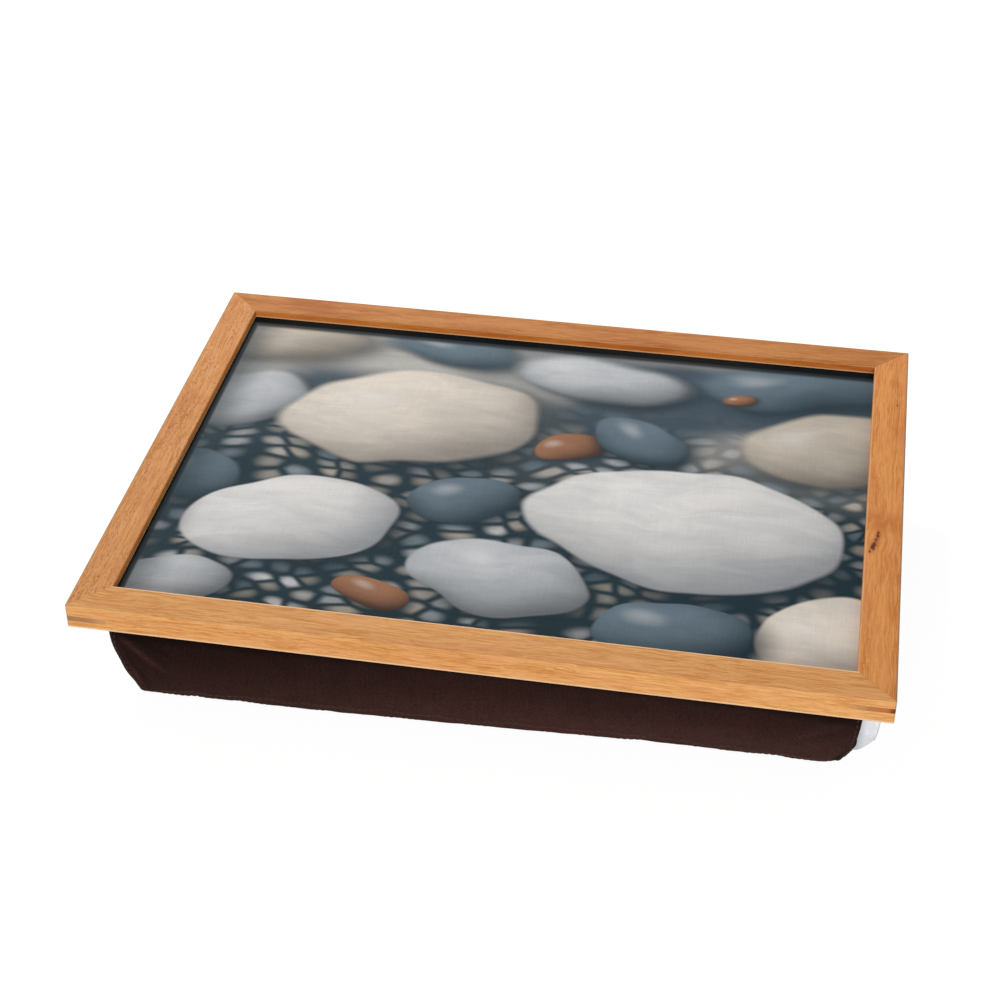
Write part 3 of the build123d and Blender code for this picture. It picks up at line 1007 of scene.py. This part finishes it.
def inflate(cover, pins, cushion):
    """Blows the cover out against its sewn lines, and gives where its points end, in mm."""
    group = cover.vertex_groups.new(name="sewn")
    for index in np.nonzero(pins > 0)[0]:
        group.add([int(index)], float(pins[index]), "REPLACE")
    cloth = cover.modifiers.new("cloth", "CLOTH")
    for name, value in CLOTH.items():
        setattr(cloth.settings, name, value)
    cloth.settings.uniform_pressure_force = cushion.pressure
    cloth.settings.vertex_group_mass = group.name
    cloth.settings.effector_weights.gravity = 0
    cloth.collision_settings.use_collision = False
    scene = bpy.context.scene
    for step in range(1, cushion.steps + 1):
        scene.frame_set(step)
    evaluated = cover.evaluated_get(bpy.context.evaluated_depsgraph_get())
    blown = mesh_points(evaluated.data)
    cover.modifiers.remove(cloth)
    cover.vertex_groups.remove(group)
    scene.frame_set(1)
    return blown


def tape_zone(x, y, margin):
    """1 over the loop tapes, fading to 0 over margin."""
    low, high = span("loop_tape_front_right")
    middle, half = np.abs(low + high) / 2, (high - low) / 2
    over_x = np.abs(np.abs(x) - middle[0]) - half[0]
    over_y = np.abs(np.abs(y) - middle[1]) - half[1]
    return smooth(np.maximum(over_x, over_y), margin, 1.0)


def keep_clear(grid, points):
    """Holds the cover off the floor, the rails, the board and the tapes."""
    p = points.copy()
    heights = (grid.top_seam, grid.top_seam + 0.4, 57.0, BOARD_UNDERSIDE - 0.4)
    roof = np.interp(grid.from_edge(p[:, 0], p[:, 1]), (0, 5.2, 9, 22), heights)
    tape = tape_zone(p[:, 0], p[:, 1], 12.0)
    roof = roof + (np.minimum(roof, CROWN_TOP - 0.05) - roof) * tape
    p[:, 2] = np.where(p[:, 2] > 50, np.minimum(p[:, 2], roof), p[:, 2])
    p[:, 2] = np.maximum(p[:, 2], 0.0)
    return p


def relief(grid, points):
    """Rise of every point along its normal: seams, puckers beside them and folds."""
    distance = grid.seam_distance()
    rise = -0.75 * hump(distance, 0.9) + 0.50 * hump(distance - 3.2, 1.7)
    x, y, z = points.T
    beside = np.abs(x) / grid.half_width > np.abs(y) / grid.half_depth
    lap = np.where(beside, y * 1.07 + 40, x)
    pucker = np.sin(lap * 0.62 + 1.3 * np.sin(lap * 0.11)) + 0.6 * np.sin(lap * 0.93 + 2.0)
    rise += 0.09 * pucker * hump(distance, 9) * smooth(distance, 0.5, 3.0)
    hang = np.sin(lap * 0.173 + 0.9) + np.sin(lap * 0.291 + 2.4 + z * 0.03)
    hang += 0.7 * np.sin(lap * 0.412 - z * 0.05)
    rise += 0.22 * hang * smooth(z, 55, 46) * smooth(z, 4, 12)
    for line, width, height in FOLDS:
        off, along = nearness(points, line)
        rise += height * hump(off, width) * smooth(along, 1.0, 0.55) * smooth(along, -0.05, 0.18)
    return rise


def pins(grid, points):
    """How firmly each point is held while the cover is blown out."""
    hold = np.zeros(len(points))
    rows = hold[: grid.rows * grid.ring].reshape(grid.rows, grid.ring)
    rows[:, np.cumsum([0, grid.count_x, grid.count_y, grid.count_x])] = 0.55
    rows[[0, -1]] = 1.0
    flat, crown = grid.bottom.ravel(), grid.top.ravel()
    hold[flat] = np.maximum(hold[flat], smooth(points[flat, 2], 1.2, 0.0))
    x, y = points[crown, :2].T
    hold[crown] = np.maximum(hold[crown], tape_zone(x, y, 6.0))
    hold[crown] = np.where(grid.from_edge(x, y) < 5.6, 1.0, hold[crown])
    return hold


def subdivide(piece):
    """One level of subdivision, applied."""
    piece.modifiers.new("subdivision", "SUBSURF").levels = 1
    evaluated = piece.evaluated_get(bpy.context.evaluated_depsgraph_get())
    coarse, fine = piece.data, bpy.data.meshes.new_from_object(evaluated)
    piece.modifiers.clear()
    piece.data = fine
    fine.name = piece.name
    bpy.data.meshes.remove(coarse)


# Painted highlights along the folds of the cotton, and painted shade in the hollows beside them: the
# two ends in metres, the width, and how much lighter it is
CREASE_HIGHLIGHTS_AND_SHADES = (
    ((-0.1905, -0.151, 0.0400), (-0.1700, -0.153, 0.0245), 0.0030, 1.5),
    ((-0.1840, -0.151, 0.0415), (-0.1640, -0.153, 0.0325), 0.0036, -0.42),
    ((-0.1930, -0.149, 0.0360), (-0.1790, -0.151, 0.0065), 0.0021, 0.7),
    ((-0.1895, -0.150, 0.0300), (-0.1780, -0.152, 0.0150), 0.0034, -0.45),
    ((0.193, -0.149, 0.042), (0.172, -0.149, 0.028), 0.0045, 0.30),
    ((0.190, 0.150, 0.040), (0.172, 0.150, 0.026), 0.0040, 0.50),
    ((-0.190, 0.150, 0.040), (-0.170, 0.150, 0.027), 0.0038, 0.50),
)


def seam_shadow(b, x, y, z):
    """Deep shade on the side panel just behind the label."""
    seam_at = b.fade(z, 0.006, 0.026, 0.0420, 0.0500)
    behind = b.fade(x + y - seam_at, -0.001, 0.002)
    return behind * b.fade(y, -0.145, -0.139, 1.0, 0.0) * (b.fade(x, 0.185, 0.190) * 0.9)


def cover_material(cushion):
    material, b = new_material("cushion_cover_cotton")
    place = b.place()
    x, y, z = b.split(place)
    weave = b.group("Plain weave", Position=place, Pitch=0.62 * MM, Slub=0.6)
    patches = b.noise(place, (22, 22, 30), 3, 0.55)
    wales = b.noise(place, (900, 900, 30), 1)
    ruddy = b.noise(place, (60, 60, 75), 3, 0.65)
    specks = b.noise(place, (1000, 1000, 1000), 2, 0.6)
    cotton = tuple(cushion.cotton)
    color = b.mix(b.fade(patches, 0.3, 0.7), cotton, times(cotton, 1.25))
    for amount, shade in (
        (b.fade(ruddy, 0.45, 0.75, 0.0, 0.55), (0.046, 0.0165, 0.0150)),
        (b.fade(weave["Shade"], 0.2, 1.1, 0.0, 0.45), times(cotton, 0.45)),
        (b.fade(wales, 0.35, 0.75, 0.0, 0.18), times(cotton, 2.1)),
        (b.fade(specks, 0.40, 0.70, 0.0, 0.42), times(cotton, 2.2)),
        (b.fade(specks, 0.30, 0.46, 0.40, 0.0), times(cotton, 0.4)),
    ):
        color = b.mix(amount, color, shade)
    # Painted light and shade: a dark band under the rails' overhang, the top panel back to full,
    # lighter toward the bottom where the floor throws light up; the tone is also darker toward the
    # left
    shade_under_rails = b.fade(z, 0.0375, 0.0440, 1.0, 0.34)
    rail_overhang_shade = b.math("MAXIMUM", shade_under_rails, b.fade(z, 0.0445, 0.0500, 0.0, 1.15))
    tone = b.fade(z, 0.002, 0.040, 1.52, 0.66) * rail_overhang_shade * b.fade(x, -0.21, 0.08, 0.60, 1.04)
    # Each crease paints a highlight or a shade over the tone
    for start, end, width, lift in CREASE_HIGHLIGHTS_AND_SHADES:
        crease = {"Start": start, "End": end, "Width": width, "Lift": lift}
        tone = b.group("Painted crease light", Position=place, Tone=tone, **crease)["Tone"]
        place = one_by_one(b, place, tone)
    cloth = weave["Height"] * 0.7 + wales * 0.6
    return surface(
        material,
        b,
        Base_Color=b.mix(seam_shadow(b, x, y, z), color * tone, (0.0012, 0.0010, 0.0010)),
        Roughness=b.fade(patches, 0.2, 0.8, 0.82, 0.95),
        Specular_IOR_Level=0.05,
        Sheen_Weight=0.03,
        Sheen_Roughness=0.45,
        Sheen_Tint=(0.75, 0.55, 0.5),
        Normal=b.bump(cloth, 0.18 * MM, 0.55),
    )


class LAPTRAY_OT_sew_cushion(bpy.types.Operator):
    """Sew the cover and blow it out with its filling"""

    bl_idname = "laptray.sew_cushion"
    bl_label = "Sew Cushion"

    def execute(self, context):
        cushion = context.scene.laptray_cushion
        grid = CoverGrid(cushion)
        points = settle(np.array(grid.points, float))
        cover = new_piece("cushion_cover", points, grid.faces)
        mesh = cover.data
        move = inflate(cover, pins(grid, points), cushion) - points
        far = np.linalg.norm(move, axis=1)
        limit = cushion.swell / MM
        points = points + move * (limit * np.tanh(far / limit) / np.maximum(far, 1e-6))[:, None]
        move_points(mesh, points)
        points = points + of_vertices(mesh, "normal") * relief(grid, points)[:, None]
        move_points(mesh, keep_clear(grid, points))
        subdivide(cover)
        move_points(cover.data, keep_clear(grid, mesh_points(cover.data)))
        sides = [f"cushion_side_{side}" for side in ("front", "back", "left", "right")]
        cotton = cover_material(cushion)
        dress(cotton, cover, "cushion_top_panel", "cushion_bottom_panel", *sides)
        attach(cover, "cushion")
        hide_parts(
            "cushion_top_panel",
            "cushion_bottom_panel",
            *sides,
            "liner_upper",
            "liner_lower",
            "bead_fill",
        )
        return {"FINISHED"}


def liner_material(name, dark, pale, pitch):
    material, b = new_material(name)
    weave = b.group("Plain weave", Position=b.place(), Pitch=pitch, Slub=0.4)
    color, relief = b.mix(weave["Shade"], dark, pale), b.bump(weave["Height"], pitch / 4, 0.6)
    return surface(material, b, Base_Color=color, Roughness=0.9, Normal=relief)


class LAPTRAY_OT_dress_filling(bpy.types.Operator):
    """Finish the liner and the beads inside the cover"""

    bl_idname = "laptray.dress_filling"
    bl_label = "Dress Liner and Beads"

    def execute(self, context):
        liner = (0.62, 0.60, 0.55), (0.80, 0.78, 0.72), 0.7 * MM
        beads = (0.70, 0.70, 0.68), (0.92, 0.92, 0.90), 4 * MM
        dress(liner_material("liner_cotton", *liner), "liner_upper", "liner_lower")
        dress(liner_material("bead_filling", *beads), "bead_fill")
        return {"FINISHED"}


# Stitching


STITCH_PITCH, STITCH_LENGTH, STITCH_WIDTH, STITCH_LIFT = 3.4, 2.5, 0.55, 0.05
# How many rows of the cloth's points lie between a seam and its stitches
STITCH_STEP = 2
# Where along a stitch its rings lie, and how thick it is there
STITCH_RINGS, STITCH_SIDES = ((-0.38, 0.75), (0.0, 1.0), (0.38, 0.75)), 6


def thread_material(cushion):
    material, b = new_material("seam_stitching_thread")
    twist = b.noise(b.place(), (2600, 2600, 2600), 1)
    thread = tuple(cushion.thread)
    color = b.mix(b.fade(twist, 0.3, 0.7), thread, times(thread, 1.8))
    looks = {"Roughness": 0.75, "Specular_IOR_Level": 0.15}
    return surface(material, b, Base_Color=color, Normal=b.bump(twist, 0.1 * MM, 0.6), **looks)


def resample(line, pitch):
    """Evenly spaced points along a closed line."""
    closed = np.vstack([line, line[:1]])
    lengths = np.linalg.norm(np.diff(closed, axis=0), axis=1)
    total = np.concatenate([[0], np.cumsum(lengths)])
    count = int(total[-1] / pitch)
    at = np.arange(count) * total[-1] / count
    return np.stack([np.interp(at, total, closed[:, i]) for i in range(3)], axis=1)


def unit(vector):
    return vector / max(np.linalg.norm(vector), 1e-9)


def stitch_row(points, normals):
    """Short rounded stitches, one at each point, pointing at the next."""
    verts, faces = [], []
    ahead = np.roll(points, -1, axis=0) - np.roll(points, 1, axis=0)
    for at, normal, along in zip(points, normals, ahead):
        along = unit(along)
        across = unit(np.cross(normal, along))
        up = np.cross(along, across)
        start = len(verts)
        verts.append(at - along * STITCH_LENGTH / 2)
        for share, swell in STITCH_RINGS:
            for k in range(STITCH_SIDES):
                angle = 2 * pi * k / STITCH_SIDES
                spoke = across * cos(angle) + up * sin(angle) * 0.7
                verts.append(at + along * share * STITCH_LENGTH + spoke * swell * STITCH_WIDTH / 2)
        verts.append(at + along * STITCH_LENGTH / 2)
        last = len(verts) - 1
        for k in range(STITCH_SIDES):
            after = (k + 1) % STITCH_SIDES
            faces.append((start, start + 1 + after, start + 1 + k))
            faces.append((last, last - STITCH_SIDES + k, last - STITCH_SIDES + after))
            for ring in range(len(STITCH_RINGS) - 1):
                a = start + 1 + ring * STITCH_SIDES
                c = a + STITCH_SIDES
                faces.append((a + k, a + after, c + after, c + k))
    return verts, faces


def stitch_lines(grid):
    """Point numbers of the stitch lines: one round each panel, a little in from its seams."""
    upper, lower = STITCH_STEP, grid.rows - 1 - STITCH_STEP
    start = 0
    for count in (grid.count_x, grid.count_y, grid.count_x, grid.count_y):
        first, last = start + STITCH_STEP, start + count - STITCH_STEP
        yield [
            *(upper * grid.ring + c for c in range(first, last)),
            *(r * grid.ring + last for r in range(upper, lower)),
            *(lower * grid.ring + c for c in range(last, first, -1)),
            *(r * grid.ring + first for r in range(lower, upper, -1)),
        ]
        start += count
    for cap in (grid.top, grid.bottom):
        inner = cap[STITCH_STEP:-STITCH_STEP, STITCH_STEP:-STITCH_STEP]
        yield [*inner[:-1, 0], *inner[-1, :-1], *inner[:0:-1, -1], *inner[0, :0:-1]]


class LAPTRAY_OT_stitch_seams(bpy.types.Operator):
    """Lay a row of stitches beside every seam of the cover"""

    bl_idname = "laptray.stitch_seams"
    bl_label = "Stitch Seams"

    def execute(self, context):
        cushion = context.scene.laptray_cushion
        cover = bpy.data.objects["cushion_cover"]
        points, normals = mesh_points(cover.data), of_vertices(cover.data, "normal")
        verts, faces = [], []
        for line in stitch_lines(CoverGrid(cushion)):
            at = resample(points[line], STITCH_PITCH)
            away = ((points[line] - at[:, None]) ** 2).sum(axis=2)
            facing = normals[np.array(line)[away.argmin(axis=1)]]
            row_verts, row_faces = stitch_row(at + facing * STITCH_LIFT, facing)
            faces.extend(tuple(i + len(verts) for i in face) for face in row_faces)
            verts.extend(row_verts)
        stitching = new_piece("seam_stitching", verts, faces)
        dress(thread_material(cushion), stitching)
        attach(stitching, "cushion")
        return {"FINISHED"}


# Label


LABEL_COLUMNS, LABEL_ROWS = 22, 26
# In mm: gap inside its fold, run of its ends in the seam, how far it stands out, and how far its
# upper end lies below the top of its CAD node
LABEL_GAP, LABEL_ROOT, LABEL_REACH, LABEL_DROP = 1.0, 3.0, 8.8, 6.0


def corner_seam(cushion, top, length):
    """Evenly spaced places down the sewn front right corner, from the given height."""
    grid = CoverGrid(cushion)
    points = mesh_points(bpy.data.objects["cushion_cover"].data)
    seam = points[grid.count_x : grid.rows * grid.ring : grid.ring]
    lengths = np.concatenate([[0], np.cumsum(np.linalg.norm(np.diff(seam, axis=0), axis=1))])
    at = np.interp(-top, -seam[:, 2], lengths) + np.linspace(0, length, LABEL_ROWS + 1)
    return np.stack([np.interp(at, lengths, seam[:, i]) for i in range(3)], axis=1)


def label_material():
    material, b = new_material("woven_label_ribbon")
    place = b.place()
    ribs = b.noise(place, (500, 500, 3600), 1)
    creases = b.noise(place, (260, 260, 130))
    # Painted shade: grey next to the cushion fading to white outward, and greyer along the creases
    outward = b.fade(b.split(place)[0], 0.1975, 0.2045)
    grey = (0.50, 0.52, 0.56)
    color = b.mix(outward, (0.40, 0.42, 0.46), (0.76, 0.775, 0.80))
    color = b.mix(b.fade(creases, 0.35, 0.65, 0.0, 0.30), color, grey)
    color = b.mix(b.fade(ribs, 0.4, 0.7, 0.0, 0.18), color, grey)
    relief = b.bump(ribs * 0.2 + creases, 0.5 * MM, 0.6)
    return surface(material, b, Base_Color=color, Roughness=0.55, Sheen_Weight=0.3, Normal=relief)


class LAPTRAY_OT_fold_label(bpy.types.Operator):
    """Fold the blank ribbon that is sewn into the front right corner seam"""

    bl_idname = "laptray.fold_label"
    bl_label = "Fold Label"

    def execute(self, context):
        low, high = span("woven_label")
        seam_length = high[2] - low[2]
        straight = LABEL_REACH - LABEL_GAP / 2
        bend_from = LABEL_ROOT + straight
        half_loop = pi * LABEL_GAP / 2
        total = 2 * bend_from + half_loop
        points = []
        seam = corner_seam(context.scene.laptray_cushion, high[2] - LABEL_DROP, seam_length)
        for row, place in enumerate(seam):
            v = row / LABEL_ROWS
            turn = radians(10 * v - 15)
            out = Vector((cos(turn), sin(turn), 0))
            across = Vector((-out.y, out.x, 0))
            for column in range(LABEL_COLUMNS + 1):
                run = column / LABEL_COLUMNS * total
                if run < bend_from:
                    along, side = run - LABEL_ROOT, -LABEL_GAP / 2
                elif run < bend_from + half_loop:
                    bend = (run - bend_from) / (LABEL_GAP / 2)
                    along = straight + LABEL_GAP / 2 * sin(bend)
                    side = -LABEL_GAP / 2 * cos(bend)
                else:
                    along, side = straight - (run - bend_from - half_loop), LABEL_GAP / 2
                outside = max(along, 0) / LABEL_REACH
                curl = 1.1 * outside**2 * sin(2.4 * v + 0.5)
                spread = 0.35 + 0.65 * min(outside * 2.5, 1)
                point = Vector(place) + out * along + across * (side * spread + curl)
                droop = 0.10 * (v - 0.2) + 0.78 * outside * smooth(v, 0.35, 1.0)
                points.append((point.x, point.y, point.z + max(along, 0) * droop))
        width = LABEL_COLUMNS + 1
        starts = (row * width + column for row in range(LABEL_ROWS) for column in range(width - 1))
        faces = [(a, a + 1, a + width + 1, a + width) for a in starts]
        label = new_piece("folded_label", points, faces)
        dress(label_material(), label)
        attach(label, "cushion")
        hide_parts("woven_label")
        return {"FINISHED"}


# Studio


FLOOR_REACH, FLOOR_LEVEL = 40000, -0.05
CAMERA_SHIFT = (0.035, -0.010)


def aim_lamp(name, power, place, target, size):
    data = bpy.data.lights.new(name, "AREA")
    data.energy = power
    data.shape = "RECTANGLE"
    data.size, data.size_y = size
    lamp = bpy.data.objects.new(name, data)
    lamp.location = place
    lamp.rotation_euler = (Vector(target) - Vector(place)).to_track_quat("-Z", "Y").to_euler()
    bpy.context.scene.collection.objects.link(lamp)


def set_camera(scene, stage):
    data = bpy.data.cameras.new("product_camera")
    data.lens = stage.lens
    data.sensor_width = 36
    data.shift_x, data.shift_y = CAMERA_SHIFT
    data.clip_start, data.clip_end = 0.01, 100
    camera = bpy.data.objects.new("product_camera", data)
    turn = (Vector(stage.aim) - Vector(stage.eye)).to_track_quat("-Z", "Y").to_matrix()
    turn = turn @ Matrix.Rotation(stage.roll, 3, "Z")
    camera.matrix_world = Matrix.Translation(stage.eye) @ turn.to_4x4()
    scene.collection.objects.link(camera)
    scene.camera = camera


def seen_directly(b):
    """1 where the camera, a mirror or glass looks at the surface, and 0 where it gives light."""
    ray = b.outs("ShaderNodeLightPath")
    seen = b.math("MAXIMUM", ray["Is Camera Ray"], ray["Is Glossy Ray"])
    return b.math("MAXIMUM", seen, ray["Is Transmission Ray"])


def set_world(scene, stage):
    scene.world = bpy.data.worlds.new("studio")
    b = empty_bench(scene.world)
    feeds = {0: seen_directly(b), 2: stage.sky, 3: 1.0}
    strength = b.out("ShaderNodeMix", feeds, data_type="FLOAT")
    sky = b.out("ShaderNodeBackground", {"Color": (1, 1, 1), "Strength": strength})
    b.put("ShaderNodeOutputWorld", {"Surface": sky})


def floor_material():
    """White where it is seen, with a faint shadow, and a plain pale surface for the light."""
    material = bpy.data.materials.new("studio_floor")
    b = empty_bench(material)
    dust = b.mix(b.noise(b.place(), (3, 3, 3)), (0.80, 0.80, 0.80), (0.82, 0.82, 0.82))
    paper = b.out("ShaderNodeBsdfDiffuse", {"Color": dust})
    shade = b.out("ShaderNodeBsdfDiffuse", {"Color": (0.16, 0.16, 0.16)})
    away = b.fade(b.vector("LENGTH", b.place()), 0.5, 1.6, 0.93, 1.0)
    glow = b.out("ShaderNodeEmission", {"Color": (1, 1, 1), "Strength": away})
    both = b.out("ShaderNodeAddShader", {0: shade, 1: glow})
    picked = b.out("ShaderNodeMixShader", {0: seen_directly(b), 1: paper, 2: both})
    b.put("ShaderNodeOutputMaterial", {"Surface": picked})
    return material


class LAPTRAY_OT_set_stage(bpy.types.Operator):
    """Set the camera, the lamps, the even light and the pale floor"""

    bl_idname = "laptray.set_stage"
    bl_label = "Set Stage"

    def execute(self, context):
        scene, stage = context.scene, context.scene.laptray_stage
        set_camera(scene, stage)
        aim_lamp("key_lamp", stage.key_power, (-0.62, 1.86, 1.30), (0, 0, 0.06), (0.55, 0.28))
        aim_lamp("fill_lamp", stage.fill_power, (0.35, -2.40, 0.78), (0, 0, 0.05), (1.7, 0.9))
        set_world(scene, stage)
        signs = ((-1, -1), (1, -1), (1, 1), (-1, 1))
        corners = [(x * FLOOR_REACH, y * FLOOR_REACH, FLOOR_LEVEL) for x, y in signs]
        floor = new_piece("studio_floor", corners, [(0, 1, 2, 3)])
        dress(floor_material(), floor)
        scene.view_settings.view_transform = "Standard"
        return {"FINISHED"}


class LAPTRAY_OT_make_effects(bpy.types.Operator):
    """Make the shader groups that several materials share"""

    bl_idname = "laptray.make_effects"
    bl_label = "Make Shared Effects"

    def execute(self, context):
        make_grain_group()
        make_weave_group()
        make_crease_group()
        make_linen_group()
        make_stone_group()
        return {"FINISHED"}


SETTINGS = {
    "laptray_wood": WoodSettings,
    "laptray_print": PrintSettings,
    "laptray_cushion": CushionSettings,
    "laptray_stage": StageSettings,
}
OPERATORS = (
    LAPTRAY_OT_make_effects,
    LAPTRAY_OT_dress_rails,
    LAPTRAY_OT_dress_keys,
    LAPTRAY_OT_dress_board,
    LAPTRAY_OT_dress_tapes,
    LAPTRAY_OT_sew_cushion,
    LAPTRAY_OT_dress_filling,
    LAPTRAY_OT_stitch_seams,
    LAPTRAY_OT_fold_label,
    LAPTRAY_OT_set_stage,
)


class LAPTRAY_PT_maker(bpy.types.Panel):
    """Lists the settings and the steps of the lap tray"""

    bl_idname = "LAPTRAY_PT_maker"
    bl_label = "Lap Tray"
    bl_space_type = "VIEW_3D"
    bl_region_type = "UI"
    bl_category = "Lap Tray"

    def draw(self, context):
        for name in SETTINGS:
            box = self.layout.box()
            box.label(text=name.partition("_")[2].title())
            settings = getattr(context.scene, name)
            for key in settings.bl_rna.properties.keys():
                if key not in ("rna_type", "name"):
                    box.prop(settings, key)
        for operator in OPERATORS:
            self.layout.operator(operator.bl_idname)


def register():
    for cls in (*SETTINGS.values(), *OPERATORS, LAPTRAY_PT_maker):
        bpy.utils.register_class(cls)
    for name, settings in SETTINGS.items():
        setattr(bpy.types.Scene, name, PointerProperty(type=settings))


def unregister():
    for name in SETTINGS:
        delattr(bpy.types.Scene, name)
    for cls in (LAPTRAY_PT_maker, *reversed(OPERATORS), *SETTINGS.values()):
        bpy.utils.unregister_class(cls)


def main():
    register()
    for operator in OPERATORS:
        step = operator.bl_idname.partition(".")[2]
        getattr(bpy.ops.laptray, step)()


if __name__ == "__main__":
    main()
